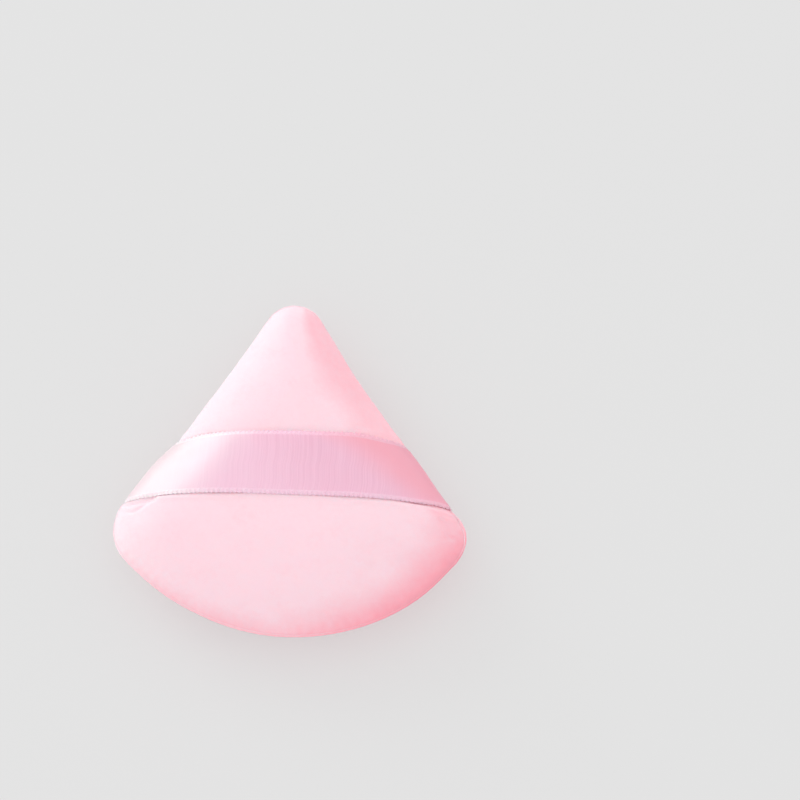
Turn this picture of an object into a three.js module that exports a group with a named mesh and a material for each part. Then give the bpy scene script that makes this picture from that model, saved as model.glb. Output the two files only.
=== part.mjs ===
// A rounded-triangle powder puff in velour, with a satin finger ribbon across its back.
// It lies powder side down: +Z up, the tip towards +Y, the ribbon along X. Sizes are in millimetres.
// Heights are first counted from the plane of the perimeter seam, and the group lifts them to the table.

import * as THREE from 'three';

// Driving sizes of the puff's outline, seen from above
const puffWidth = 80.4;
const puffLength = 79.2;
const tipRadius = 6.5;
const cornerRadius = 9;
const cornerRise = 23.4; // corner centres above the lowest point of the bowed base
const sideDrawIn = 1; // how far the seam draws in the middle of each long side

// Driving sizes of the puff's thickness
const puffThickness = 20; // crown to crown, before the powder side is pressed flat
const flatDepth = 0.5; // pressed flat where the puff stands
const rollHeight = 1; // from the seam to the widest line of each cover
const crownPower = 3; // 2 is a plain dome, and higher is a fuller cushion
const crownShare = 0.13; // the crown's place, from the corner centres towards the tip

// Covers, seam and core
const fitGap = 0.3; // between pieces that touch
const coverThickness = 1.2; // pile and backing
const seamAllowance = 3; // turned-in edge, past the cover's inner wall
const allowanceThickness = 1;
const seamCrease = 0.5; // how far the seam is drawn in from the widest line
const partingLead = 4; // along the seam, how far the covers stay parted past what lies between them
const partingLength = 4; // over which they then close

// Ribbon
const ribbonWidth = 15;
const ribbonThickness = 0.5;
const ribbonRise = 7; // base-side edge above the corner centres
const fingerGap = 0.7; // under the ribbon's base-side edge, at the middle
const tipSideLift = 0.3; // how much higher the tip-side edge stands
const ribbonStandOff = 0.7; // from the widest line of the cover to the ribbon's inner face
const foldRadius = 1; // where the ribbon turns up out of the seam
const tailLength = 3.5; // caught in the seam, from the widest line inwards
const archPower = 3.2; // how square the ribbon's shoulders are
const shoulderShare = 0.72; // height at which the sewn ends give way to the lifting span

// Threads
const threadDiameter = 0.4;
const stitchInset = 1.2; // perimeter stitches, from the cover's inner wall
const tackInset = 2.3; // middle of the tacking zigzag, from the cover's inner wall
const tackSwing = 0.4;
const tackMargin = 1.5; // tacking stops this far inside each edge of the ribbon
const tackPitch = 2;
const closingLength = 22; // hand-closed turning gap
const closingStart = 1; // past the middle of the corner
const closingInset = 0.7;
const closingSwing = 0.35;
const closingPitch = 3;

// Step counts
const tipSteps = 4; // half of the tip
const sideSteps = 13;
const cornerSteps = 8;
const baseSteps = 11; // half of the base
const ribbonSteps = 5; // across the ribbon
const spanSteps = 30;
const wallSteps = 7;
const foldSteps = 4;
const threadSides = 5;
const stepsPerPitch = 6;

const outerAngleShares = [0.1, 0.21, 0.36, 0.52, 0.68, 0.82, 0.93, 1];
const innerAngleShares = [1, 0.82, 0.62, 0.4, 0.2]; // of the angle at which the core's channel opens

const colours = {
  velour: 0xfddce3,
  velourUnder: 0xfbd2dc,
  satin: 0xf4c8dc,
  foam: 0xf7f3ec,
  thread: 0xf6bfcd,
};

const halfThickness = puffThickness / 2;
const crownHeight = halfThickness - rollHeight;
const tableHeight = flatDepth - halfThickness; // the table, below the seam
const ribbonRadius = ribbonThickness / 2;
const threadRadius = threadDiameter / 2;

// Outline: arcs round the right half from the tip to the base, and their mirror images
const tipCentre = new THREE.Vector2(0, puffLength / 2 - tipRadius);
const cornerCentre = new THREE.Vector2(puffWidth / 2 - cornerRadius, cornerRise - puffLength / 2);
const crownCentre = new THREE.Vector2(0, cornerCentre.y + crownShare * (tipCentre.y - cornerCentre.y));

function makeOutline() {
  const toCorner = cornerCentre.clone().sub(tipCentre);
  const reach = toCorner.length();
  const sideRadius = reach ** 2 / (8 * sideDrawIn);
  const tipReach = sideRadius + tipRadius;
  const cornerReach = sideRadius + cornerRadius;
  const alongLine = (tipReach ** 2 - cornerReach ** 2 + reach ** 2) / (2 * reach);
  const offLine = Math.sqrt(tipReach ** 2 - alongLine ** 2);
  const unit = toCorner.normalize();
  const sideCentre = tipCentre.clone()
    .addScaledVector(unit, alongLine)
    .addScaledVector(new THREE.Vector2(-unit.y, unit.x), offLine);

  const halfSpan = cornerCentre.x;
  const baseRadius = (halfSpan ** 2 + cornerRise ** 2 - cornerRadius ** 2) / (2 * (cornerRise - cornerRadius));
  const baseCentre = new THREE.Vector2(0, baseRadius - puffLength / 2);

  const tipAngle = sideCentre.clone().sub(tipCentre).angle();
  const shoulderAngle = sideCentre.clone().sub(cornerCentre).angle();
  const baseAngle = cornerCentre.clone().sub(baseCentre).angle() - 2 * Math.PI;
  const arcs = [
    { centre: tipCentre, radius: tipRadius, from: Math.PI / 2, to: tipAngle, steps: tipSteps, bulge: 1 },
    {
      centre: sideCentre, radius: sideRadius, steps: sideSteps, bulge: -1,
      from: tipAngle + Math.PI, to: shoulderAngle + Math.PI,
    },
    {
      centre: cornerCentre, radius: cornerRadius, steps: cornerSteps, bulge: 1,
      from: shoulderAngle, to: baseAngle,
    },
    {
      centre: baseCentre, radius: baseRadius, steps: baseSteps, bulge: 1,
      from: baseAngle, to: -Math.PI / 2,
    },
  ];

  const half = [];
  for (const arc of arcs) {
    for (let k = 0; k < arc.steps; k += 1) {
      const angle = THREE.MathUtils.lerp(arc.from, arc.to, k / arc.steps);
      const outward = new THREE.Vector2(Math.cos(angle), Math.sin(angle));
      const point = arc.centre.clone().addScaledVector(outward, arc.radius);
      half.push({ point, normal: outward.multiplyScalar(arc.bulge) });
    }
  }
  const base = { point: new THREE.Vector2(0, -puffLength / 2), normal: new THREE.Vector2(0, -1) };
  const mirrored = half.slice(1).reverse().map(({ point, normal }) => ({
    point: new THREE.Vector2(-point.x, point.y),
    normal: new THREE.Vector2(-normal.x, normal.y),
  }));
  return [...half, base, ...mirrored];
}

const outline = makeOutline();

// Half width of the outline at a height along Y on the long sides
function halfWidthAt(y) {
  for (let i = 0; i < outline.length / 2; i += 1) {
    const a = outline[i].point;
    const b = outline[i + 1].point;
    if (a.y >= y && b.y < y) return THREE.MathUtils.mapLinear(y, a.y, b.y, a.x, b.x);
  }
  return cornerCentre.x;
}

// Distances along the outline, from the tip clockwise
const distances = [0];
for (let i = 1; i <= outline.length; i += 1) {
  const step = outline[i % outline.length].point.distanceTo(outline[i - 1].point);
  distances.push(distances[i - 1] + step);
}
const perimeter = distances[outline.length];

function outlineAt(distance) {
  const wrapped = THREE.MathUtils.euclideanModulo(distance, perimeter);
  let i = 0;
  while (distances[i + 1] < wrapped) i += 1;
  const part = (wrapped - distances[i]) / (distances[i + 1] - distances[i]);
  const next = outline[(i + 1) % outline.length];
  return {
    point: outline[i].point.clone().lerp(next.point, part),
    normal: outline[i].normal.clone().lerp(next.normal, part).normalize(),
  };
}

// Distance along the right side, or the left one, of the point at a height along Y
function distanceAtHeight(y, side) {
  let i = 0;
  while (outline[i + 1].point.y > y) i += 1;
  const right = THREE.MathUtils.mapLinear(
    y, outline[i].point.y, outline[i + 1].point.y, distances[i], distances[i + 1],
  );
  return side > 0 ? right : perimeter - right;
}

const ribbonLow = cornerCentre.y + ribbonRise;
const ribbonHigh = ribbonLow + ribbonWidth;
const closingFrom = distanceAtHeight(cornerCentre.y, 1) + closingStart;
const closingTo = closingFrom + closingLength;

// How much the covers part: 1 between two ends and a little past them, then easing to 0
function partingShare(value, low, high) {
  const outside = Math.max(low - value, value - high, 0);
  return 1 - THREE.MathUtils.smoothstep(outside, partingLead, partingLead + partingLength);
}

// Height of each cover's edge above the seam plane, at a place on the outline
const closedLip = fitGap / 2;
const ribbonLip = ribbonRadius + fitGap;
const threadLip = threadRadius + fitGap;
const highestFlange = Math.max(ribbonLip, threadLip) + allowanceThickness;

function lipAt(place, distance) {
  const atRibbon = place.point.y > cornerCentre.y ? partingShare(place.point.y, ribbonLow, ribbonHigh) : 0;
  const atClosing = partingShare(distance, closingFrom, closingTo);
  return closedLip + Math.max(atRibbon * (ribbonLip - closedLip), atClosing * (threadLip - closedLip));
}

const lips = outline.map((place, i) => lipAt(place, distances[i]));

// Channel round the core's edge, for the turned-in allowances and the threads on them
const coreInset = coverThickness + fitGap;
const channelHalf = highestFlange + threadDiameter + 2 * fitGap;
const channelAngle = Math.acos((channelHalf + coreInset - rollHeight) / crownHeight);
const flangeInset = coverThickness + seamAllowance;

// Cushion form: a point at an angle from the crown, moved in along the surface's normal
function cushionPoint(place, angle, inset) {
  const share = Math.sin(angle) ** (2 / crownPower);
  const arm = place.point.clone().sub(crownCentre);
  const level = crownCentre.clone().addScaledVector(arm, share);
  const outward = crownHeight * (crownPower / 2) * share ** (crownPower - 1);
  const upward = arm.dot(place.normal) * Math.cos(angle);
  const length = Math.hypot(outward, upward);
  level.addScaledVector(place.normal, -inset * outward / length);
  const height = rollHeight + crownHeight * Math.cos(angle) - inset * upward / length;
  return new THREE.Vector3(level.x, level.y, height);
}

function cushionRing(angle, inset, ceiling) {
  return outline.map((place) => {
    const point = cushionPoint(place, angle, inset);
    point.z = Math.min(point.z, ceiling);
    return point;
  });
}

// From the core's channel up to the crown: the cover's inner wall, or the core inside it
function innerRings(inset, ceiling) {
  return innerAngleShares.map((share) => cushionRing(share * channelAngle, inset, ceiling));
}

// A level ring, set in from the outline
function levelRing(inset, heights) {
  return outline.map((place, i) => {
    const level = place.point.clone().addScaledVector(place.normal, -inset);
    return new THREE.Vector3(level.x, level.y, heights[i]);
  });
}

function crownPoint(height) {
  return new THREE.Vector3(crownCentre.x, crownCentre.y, height);
}

// Closed solid of points and triangles, turned to face outwards
function closedGeometry(points, faces) {
  let volume = 0;
  for (const [a, b, c] of faces) {
    volume += points[a].dot(new THREE.Vector3().crossVectors(points[b], points[c]));
  }
  const turned = volume < 0 ? faces.map(([a, b, c]) => [a, c, b]) : faces;
  const geometry = new THREE.BufferGeometry();
  geometry.setAttribute('position', new THREE.Float32BufferAttribute(points.flatMap((p) => [p.x, p.y, p.z]), 3));
  geometry.setIndex(turned.flat());
  geometry.computeVertexNormals();
  return geometry;
}

function quad(a, b, c, d) {
  return [[a, b, c], [a, c, d]];
}

// Rings joined from one pole to the other
function ringSolid(firstPole, rings, lastPole) {
  const count = rings[0].length;
  const points = [firstPole, ...rings.flat(), lastPole];
  const index = (ring, i) => 1 + ring * count + (i % count);
  const last = points.length - 1;
  const faces = [];
  for (let i = 0; i < count; i += 1) {
    faces.push([0, index(0, i), index(0, i + 1)]);
    for (let ring = 0; ring < rings.length - 1; ring += 1) {
      faces.push(...quad(index(ring, i), index(ring + 1, i), index(ring + 1, i + 1), index(ring, i + 1)));
    }
    faces.push([last, index(rings.length - 1, i + 1), index(rings.length - 1, i)]);
  }
  return closedGeometry(points, faces);
}

// Cover: a velour shell whose edge is turned in along the seam. Heights grow away from the seam,
// and the powder side's are turned over afterwards.
function coverGeometry(pressed) {
  const outerTop = halfThickness - pressed;
  const innerTop = outerTop - coverThickness;
  const flangeTops = lips.map((lip) => lip + allowanceThickness);
  const outer = outerAngleShares.map((share) => cushionRing(share * Math.PI / 2, 0, outerTop));
  return ringSolid(crownPoint(outerTop), [
    ...outer,
    levelRing(seamCrease, lips),
    levelRing(flangeInset, lips),
    levelRing(flangeInset, flangeTops),
    levelRing(coverThickness, flangeTops),
    ...innerRings(coverThickness, innerTop),
  ], crownPoint(innerTop));
}

// Mirror image below the seam, with its faces turned back outwards
function turnedOver(geometry) {
  geometry.scale(1, 1, -1);
  const index = geometry.getIndex();
  for (let i = 0; i < index.count; i += 3) {
    const second = index.getX(i + 1);
    index.setX(i + 1, index.getX(i + 2));
    index.setX(i + 2, second);
  }
  geometry.computeVertexNormals();
  return geometry;
}

// Foam core: fills the covers, with a channel round its edge for the turned-in seam
function coreGeometry() {
  const top = halfThickness - coreInset;
  const bottom = top - flatDepth;
  const halfRings = (ceiling) => {
    const rings = innerRings(coreInset, ceiling);
    return [levelRing(flangeInset + fitGap, rings[0].map((point) => point.z)), ...rings];
  };
  const upper = halfRings(top).reverse();
  const lower = halfRings(bottom).map((ring) => ring.map((p) => new THREE.Vector3(p.x, p.y, -p.z)));
  return ringSolid(crownPoint(top), [...upper, ...lower], crownPoint(-bottom));
}

// Thread: a round tube along points, closed into a loop or capped at its ends
function threadGeometry(path, closed) {
  const count = path.length;
  const points = [];
  const up = new THREE.Vector3(0, 0, 1);
  for (let i = 0; i < count; i += 1) {
    const before = closed ? path[(i + count - 1) % count] : path[Math.max(i - 1, 0)];
    const after = closed ? path[(i + 1) % count] : path[Math.min(i + 1, count - 1)];
    const along = after.clone().sub(before).normalize();
    const side = new THREE.Vector3().crossVectors(along, up).normalize();
    const over = new THREE.Vector3().crossVectors(side, along);
    for (let k = 0; k < threadSides; k += 1) {
      const turn = 2 * Math.PI * k / threadSides;
      points.push(path[i].clone()
        .addScaledVector(side, threadRadius * Math.cos(turn))
        .addScaledVector(over, threadRadius * Math.sin(turn)));
    }
  }
  const index = (i, k) => (i % count) * threadSides + (k % threadSides);
  const faces = [];
  const joins = closed ? count : count - 1;
  for (let i = 0; i < joins; i += 1) {
    for (let k = 0; k < threadSides; k += 1) {
      faces.push(...quad(index(i, k), index(i + 1, k), index(i + 1, k + 1), index(i, k + 1)));
    }
  }
  if (!closed) {
    for (let k = 1; k < threadSides - 1; k += 1) {
      faces.push([index(0, 0), index(0, k), index(0, k + 1)]);
      faces.push([index(count - 1, 0), index(count - 1, k + 1), index(count - 1, k)]);
    }
  }
  return closedGeometry(points, faces);
}

// Perimeter stitches on one cover's allowance: +1 above the seam, -1 below it
function perimeterThread(side) {
  const inset = coverThickness + stitchInset;
  const rise = allowanceThickness + fitGap + threadRadius;
  const heights = lips.map((lip) => side * (lip + rise));
  return threadGeometry(levelRing(inset, heights), true);
}

// Zigzag thread between two distances along the outline
function zigzagThread(from, to, pitch, inset, swing, heightAt) {
  const steps = Math.round(stepsPerPitch * (to - from) / pitch);
  const path = [];
  for (let k = 0; k <= steps; k += 1) {
    const distance = THREE.MathUtils.lerp(from, to, k / steps);
    const place = outlineAt(distance);
    const swayed = inset + swing * Math.sin(2 * Math.PI * (distance - from) / pitch);
    const level = place.point.clone().addScaledVector(place.normal, -swayed);
    path.push(new THREE.Vector3(level.x, level.y, heightAt(place, distance)));
  }
  return threadGeometry(path, false);
}

function tackThread(side) {
  const ends = [ribbonLow + tackMargin, ribbonHigh - tackMargin].map((y) => distanceAtHeight(y, side));
  const rise = allowanceThickness + fitGap + threadRadius;
  return zigzagThread(
    Math.min(...ends), Math.max(...ends), tackPitch, coverThickness + tackInset, tackSwing,
    (place, distance) => lipAt(place, distance) + rise,
  );
}

// Ribbon: its centreline across the puff at one place along its width
function ribbonShape(widthShare) {
  const y = THREE.MathUtils.lerp(ribbonLow, ribbonHigh, widthShare);
  const edge = halfWidthAt(y);
  return {
    y,
    edge,
    halfSpan: edge + ribbonStandOff + ribbonRadius,
    height: halfThickness + fingerGap + tipSideLift * widthShare + ribbonRadius,
  };
}

// Share of the half span at which the arch reaches a share of its height, and the other way round
const spanShareAt = (heightShare) => (1 - heightShare ** 2) ** (1 / archPower);
const heightShareAt = (spanShare) => Math.sqrt(1 - Math.abs(spanShare) ** archPower);

function ribbonSpanPath(shape) {
  const gapShare = fitGap / 2 / shape.height;
  const reach = spanShareAt(shoulderShare + gapShare);
  const path = [];
  for (let k = 0; k <= spanSteps; k += 1) {
    const share = reach * Math.sin(THREE.MathUtils.lerp(-Math.PI / 2, Math.PI / 2, k / spanSteps));
    path.push(new THREE.Vector2(share * shape.halfSpan, heightShareAt(share) * shape.height));
  }
  return path;
}

function ribbonEndPath(shape) {
  const gapShare = fitGap / 2 / shape.height;
  const foldCentre = new THREE.Vector2(shape.halfSpan - foldRadius, foldRadius);
  const path = [new THREE.Vector2(shape.edge - tailLength, 0)];
  for (let k = 0; k <= foldSteps; k += 1) {
    const angle = THREE.MathUtils.lerp(-Math.PI / 2, 0, k / foldSteps);
    path.push(foldCentre.clone().add(new THREE.Vector2(Math.cos(angle), Math.sin(angle)).multiplyScalar(foldRadius)));
  }
  const foldShare = foldRadius / shape.height;
  for (let k = 1; k <= wallSteps; k += 1) {
    const heightShare = THREE.MathUtils.lerp(foldShare, shoulderShare - gapShare, k / wallSteps);
    path.push(new THREE.Vector2(spanShareAt(heightShare) * shape.halfSpan, heightShare * shape.height));
  }
  return path;
}

// Sheet solid: one path across the puff for each place along the ribbon's width
function ribbonGeometry(pathOf, side) {
  const columns = [];
  const points = [];
  for (let k = 0; k <= ribbonSteps; k += 1) {
    const shape = ribbonShape(k / ribbonSteps);
    const path = pathOf(shape);
    const column = path.map((point, i) => {
      const along = path[Math.min(i + 1, path.length - 1)].clone().sub(path[Math.max(i - 1, 0)]).normalize();
      const out = new THREE.Vector2(-along.y, along.x).multiplyScalar(ribbonRadius);
      return [-1, 1].map((face) => {
        const offset = point.clone().addScaledVector(out, face);
        points.push(new THREE.Vector3(side * offset.x, shape.y, offset.y));
        return points.length - 1;
      });
    });
    columns.push(column);
  }
  const faces = [];
  const rows = columns[0].length;
  for (let k = 0; k < ribbonSteps; k += 1) {
    for (let i = 0; i < rows - 1; i += 1) {
      const corners = [columns[k][i], columns[k][i + 1], columns[k + 1][i + 1], columns[k + 1][i]];
      faces.push(...quad(...corners.map((pair) => pair[1])));
      faces.push(...quad(...corners.map((pair) => pair[0]).reverse()));
    }
    const [first, last] = [columns[k], columns[k + 1]];
    faces.push(...quad(first[0][0], first[0][1], last[0][1], last[0][0]));
    faces.push(...quad(first[rows - 1][1], first[rows - 1][0], last[rows - 1][0], last[rows - 1][1]));
  }
  for (let i = 0; i < rows - 1; i += 1) {
    const [low, high] = [columns[0], columns[ribbonSteps]];
    faces.push(...quad(low[i][0], low[i + 1][0], low[i + 1][1], low[i][1]));
    faces.push(...quad(high[i][1], high[i + 1][1], high[i + 1][0], high[i][0]));
  }
  return closedGeometry(points, faces);
}

const materials = {
  velour: new THREE.MeshStandardMaterial({ color: colours.velour, roughness: 0.95, metalness: 0 }),
  velourUnder: new THREE.MeshStandardMaterial({ color: colours.velourUnder, roughness: 0.95, metalness: 0 }),
  satin: new THREE.MeshStandardMaterial({ color: colours.satin, roughness: 0.35, metalness: 0 }),
  foam: new THREE.MeshStandardMaterial({ color: colours.foam, roughness: 1, metalness: 0 }),
  thread: new THREE.MeshStandardMaterial({ color: colours.thread, roughness: 0.7, metalness: 0 }),
};

const puff = new THREE.Group();
puff.position.z = -tableHeight;

function addPiece(name, geometry, material) {
  const mesh = new THREE.Mesh(geometry, material);
  mesh.name = name;
  puff.add(mesh);
}

addPiece('back_cover', coverGeometry(0), materials.velour);
addPiece('powder_cover', turnedOver(coverGeometry(flatDepth)), materials.velourUnder);
addPiece('foam_core', coreGeometry(), materials.foam);
addPiece('seam_needle_thread', perimeterThread(1), materials.thread);
addPiece('seam_bobbin_thread', perimeterThread(-1), materials.thread);
addPiece('strap_span', ribbonGeometry(ribbonSpanPath, 1), materials.satin);
for (const [name, side] of [['left', -1], ['right', 1]]) {
  addPiece(`strap_${name}_end`, ribbonGeometry(ribbonEndPath, side), materials.satin);
  addPiece(`${name}_tack_thread`, tackThread(side), materials.thread);
}
addPiece(
  'closing_thread',
  zigzagThread(closingFrom, closingTo, closingPitch, closingInset, closingSwing, () => 0),
  materials.thread,
);

export default puff;
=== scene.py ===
"""Dresses the powder puff: velour covers, satin finger ribbon with its woven edges, threads and core.

Everything is in metres, in the CAD's frame: +Z up, the tip towards +Y, the ribbon along X.
The covers are grids of rings round the outline. Their heights are counted from the seam, away from it.
A name that ends in SHARE is a share of what its comment says.
"""

import math

import bpy
import numpy as np
from mathutils import Matrix, Vector


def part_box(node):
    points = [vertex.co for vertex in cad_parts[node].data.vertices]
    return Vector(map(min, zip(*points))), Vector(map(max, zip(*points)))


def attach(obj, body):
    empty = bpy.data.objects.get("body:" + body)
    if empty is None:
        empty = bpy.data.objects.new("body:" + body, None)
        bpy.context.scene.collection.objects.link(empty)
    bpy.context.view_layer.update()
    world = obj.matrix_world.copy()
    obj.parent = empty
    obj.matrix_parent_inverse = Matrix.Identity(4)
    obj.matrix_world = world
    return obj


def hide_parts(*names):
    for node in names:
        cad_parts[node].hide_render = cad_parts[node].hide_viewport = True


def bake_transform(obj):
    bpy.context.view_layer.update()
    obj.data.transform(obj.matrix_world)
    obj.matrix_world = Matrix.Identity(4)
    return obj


MM = 0.001
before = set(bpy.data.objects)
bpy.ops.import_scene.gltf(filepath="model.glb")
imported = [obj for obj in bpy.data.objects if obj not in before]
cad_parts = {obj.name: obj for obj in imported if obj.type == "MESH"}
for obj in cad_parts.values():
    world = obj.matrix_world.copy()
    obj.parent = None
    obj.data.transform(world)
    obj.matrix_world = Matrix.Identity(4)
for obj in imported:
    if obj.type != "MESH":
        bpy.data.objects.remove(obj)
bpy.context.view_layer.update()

# Sizes from the frame
back_low, back_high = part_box("back_cover")
powder_low, powder_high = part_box("powder_cover")
span_low, span_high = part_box("strap_span")
SEAM_Z = (back_low.z + powder_high.z) / 2
HALF_WIDTH = back_high.x
HALF_LENGTH = back_high.y
PILE = 0.4 * MM
CROWN = back_high.z - SEAM_Z + PILE
PRESSED = CROWN - (SEAM_Z - powder_low.z)
RIBBON_LOW = span_low.y
RIBBON_HIGH = span_high.y
RIBBON_WIDTH = RIBBON_HIGH - RIBBON_LOW
ARCH = span_low.z - SEAM_Z

# Sizes of the outline and the covers
TIP_RADIUS = 6.5 * MM
CORNER_RADIUS = 9 * MM
CORNER_RISE = 23.4 * MM
SIDE_DRAW_IN = 1 * MM
ROLL = 1 * MM
COVER_THICKNESS = 1.2 * MM
ALLOWANCE = 3 * MM
ALLOWANCE_THICKNESS = 1 * MM
FIT_GAP = 0.3 * MM
# The crown's place, as a share of the way from the corners to the tip
CROWN_SHARE = 0.13

# Cushion's section: how far in it stops rising, how full it is, and how softly its sides meet
ROUND_WIDTH = 24 * MM
ROUND_POWER = 2.6
SOFTNESS = 2.5 * MM

# How far the sewn outline stands out from its pattern, at bearings in degrees counted from +X
UNEVEN_AT = [-180, -168, -158, -145, -120, -95, -60, -45, -30, -23, -18, -14, -10]
UNEVEN_AT += [0, 15, 30, 50, 60, 75, 95, 130, 150, 165, 172, 180]
UNEVEN_MM = [1.2, 0.8, -0.6, -1, -0.85, -0.1, 0.25, 0.2, -0.5, 0.2, 0.9, 0.2, 0]
UNEVEN_MM += [0.6, 0.4, 0.5, 0.3, 0.2, 0.6, 0.3, 0.35, 0.4, -0.2, 0.6, 1.2]
UNEVEN_BLUR = 31

# Seam
CREASE_DEPTH = 0.7 * MM
CREASE_GAP = 0.12 * MM
PART_LEAD = 0.5 * MM
PART_LENGTH = 2 * MM
STITCH_PITCH = 2.6 * MM
STITCH_DIMPLE = 0.12 * MM

# The seam rides up round the right corner, and is drawn in there
RIDE_UP = 1.5 * MM
RIDE_IN = 1.1 * MM
RIDE_PLACE = -4 * MM
RIDE_LENGTH = 4.5 * MM
RIDE_REACH = 5 * MM

# Soft swell of the stuffed covers: its height, its wavelength, and how far in it is at its full height
SWELL_HEIGHT = 0.16 * MM
SWELL_WAVE = 17 * MM
SWELL_INSET = 6 * MM

# Fine gathers at the stitches and broad ones: their height, how much a bend adds, and how far up they reach
FINE_GATHER, FINE_GATHER_AT_BEND, FINE_GATHER_REACH = 0.012 * MM, 0.015 * MM, 0.7 * MM
BROAD_GATHER, BROAD_GATHER_AT_BEND, BROAD_GATHER_REACH = 0.02 * MM, 0.04 * MM, 3.2 * MM
BROAD_GATHER_WAVE = 9 * MM
# How far the fine ones wander from even steps, in radians, and over what length
STITCH_WANDER, STITCH_WANDER_WAVE = 2, 20 * MM
BEND_BLUR = 41

# How the ribbon presses the cover's shoulders
PRESS_DEPTH = 0.5 * MM
PRESS_PLACE = 3.5 * MM
PRESS_REACH = 3.5 * MM
PRESS_LEAD = -0.35 * MM
PRESS_EASE = 1 * MM

# The cover swells beside the ribbon: at both edges near the seam, and all along the edge towards the base
BESIDE_SWELL = 0.15 * MM
BESIDE_PLACE, BESIDE_WIDTH = 2 * MM, 1.2 * MM
BESIDE_DEPTH, BESIDE_REACH = 0.6 * MM, 3 * MM
BASE_SWELL_PLACE, BASE_SWELL_WIDTH = 1 * MM, 0.7 * MM

# Folds beside the ribbon's two ends: start, middle and end in plan, depth and width, all in mm
LEFT_FOLDS_MM = [
    ((-29.5, -9), (-34, -10.5), (-38.4, -9.2), 1.1, 0.8),
    ((-31, -9.4), (-36, -14.8), (-38.8, -9.8), 0.35, 0.5),
]
RIGHT_FOLDS_MM = [
    ((34.5, -12.5), (36.5, -13.4), (38.9, -13.4), 0.12, 0.5),
    ((35, -16.5), (36.5, -16.8), (38.8, -17.4), 0.1, 0.6),
]
LEFT_FOLD_POINTS, RIGHT_FOLD_POINTS = 80, 40
# A fold's ridge: its height as a share of the fold's depth, and its place, width and reach in fold widths
LEFT_RIDGE_SHARE, RIGHT_RIDGE_SHARE = 0, 0.4
RIDGE_PLACE, RIDGE_WIDTH, RIDGE_REACH = 1.7, 1.2, 3
# Shares of a fold's length by which it has faded in and from which it fades out, and how far it can reach
FADED_IN_SHARE, FADING_OUT_SHARE = 0.2, 0.7
FOLD_REACH = 14 * MM

# Hand-closed gap, from past the right corner along the base
CLOSING_START = 1 * MM
CLOSING_LENGTH = 22 * MM
CLOSING_PITCH = 3 * MM
CLOSING_SWAY = 0.55 * MM
CLOSING_SQUARENESS = 2.5
CLOSING_STAND_OUT = 0.18 * MM
CLOSING_LOOP = 0.12 * MM
THREAD_RADIUS = 0.17 * MM

# Ribbon
RIBBON_THICKNESS = 0.3 * MM
RIBBON_TAIL = 3.5 * MM
RIBBON_TILT = 0.014
# Gaps under it at its ends and in its middle, along its edge towards the base and towards the tip
END_GAP = 0.06 * MM
BASE_GAP = 0.32 * MM
TIP_GAP = 0.8 * MM
# How deep its edges settle into the pile, at its left and right ends and in its middle
LEFT_SINK, RIGHT_SINK, MIDDLE_SINK = 0.24 * MM, 0.44 * MM, 0.22 * MM
# Share of the arch's height from which the end's sink gives way to the middle's
SINK_EASE_SHARE = 0.7
# How far each end's low and high edge is drawn towards the tip, between these shares of the way to the end
LEFT_DRAW = (-0.2 * MM, -0.6 * MM)
RIGHT_DRAW = (0.3 * MM, 0.3 * MM)
DRAW_FROM_SHARE, DRAW_TO_SHARE = 0.74, 0.98
# Its high edge bows towards the tip on the right, most at this share of the way to the end
RIGHT_BOW = 0.75 * MM
BOW_SHARE, BOW_REACH_SHARE = 0.6, 0.3
# It waves a little where it is free of the cover, from this share of the crown's height
RIBBON_WAVE_HEIGHT, RIBBON_WAVE = 0.1 * MM, 13 * MM
FREE_SHARE = 0.5

# Ribbon's weave: ribs across it, and loops along its edges
RIB_PITCH = 0.53 * MM
RIB_HEIGHT = 0.034 * MM
RIB_UNEVEN_SHARE, RIB_UNEVEN_WAVE = 0.15, 1.3 * MM
LOOP_PITCH = 2 * RIB_PITCH
LOOP_LENGTH = 1.1 * MM
LOOP_HEIGHT = 0.07 * MM
LOOP_OVERHANG = 0.14 * MM
# How far ribs and loops wander from even steps, in radians, and over what length
WEAVE_WANDER, RIB_WANDER_WAVE, LOOP_WANDER_WAVE = 0.5, 5 * MM, 6 * MM
# Shares of a loop's wave between which it rises, and the share of its length from which it sinks inwards
LOOP_LOW_SHARE, LOOP_TOP_SHARE = 0.25, 0.75
LOOP_END_SHARE = 0.6
# Share of the ribbon's thickness that its edges lose, and of a loop's length over which they do
THINNED_SHARE, THINNED_REACH_SHARE = 0.6, 0.5

# Mesh counts
AROUND = 960
OUTER_RINGS = 96
SEAM_RINGS = 8
INNER_STEP = 12
RIBBON_ALONG = 1200
RIBBON_HALF_POINTS = 400
RIBBON_WALL_POINTS = 3
RIBBON_BLUR = 21
MIDDLE_ROWS = 12
LOOP_ROWS = 7
FOLD_STEPS = 16
CLOSING_POINTS = 420
TUBE_SIDES = 8
DISTANCE_BLOCK = 8 * AROUND

# Steps along arcs, steps for slopes along the ribbon, and the least length to divide by
ARC_STEP = 0.1 * MM
SLOPE_STEP = 0.3 * MM
TINY = 1e-9
# Rings and the ribbon's points crowd towards the outline by this power of a sine
CROWDING = 2 / 3
# Depths are eased to 0 at the outline by this power of the way there
EASE_POWER = 6

# Noise: how many waves it adds, their shortest and longest as shares of its wavelength, and its seeds
WAVE_COUNT = 14
SHORTEST_SHARE, LONGEST_SHARE = 0.7, 1.6
SEED = 11
SWELL_SEED = 1
BACK_GATHER_SEED, POWDER_GATHER_SEED = 3, 8
RIBBON_WAVE_SEED = 21
RIB_SEED, RIB_WANDER_SEED, LOOP_WANDER_SEED = 31, 32, 33


# Curves and noise


def smooth(value, low, high):
    t = np.clip((value - low) / (high - low), 0, 1)
    return t * t * (3 - 2 * t)


def near(value, centre, width):
    """1 at a centre, easing to 0 away from it."""
    return np.exp(-(((value - centre) / width) ** 2))


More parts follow.
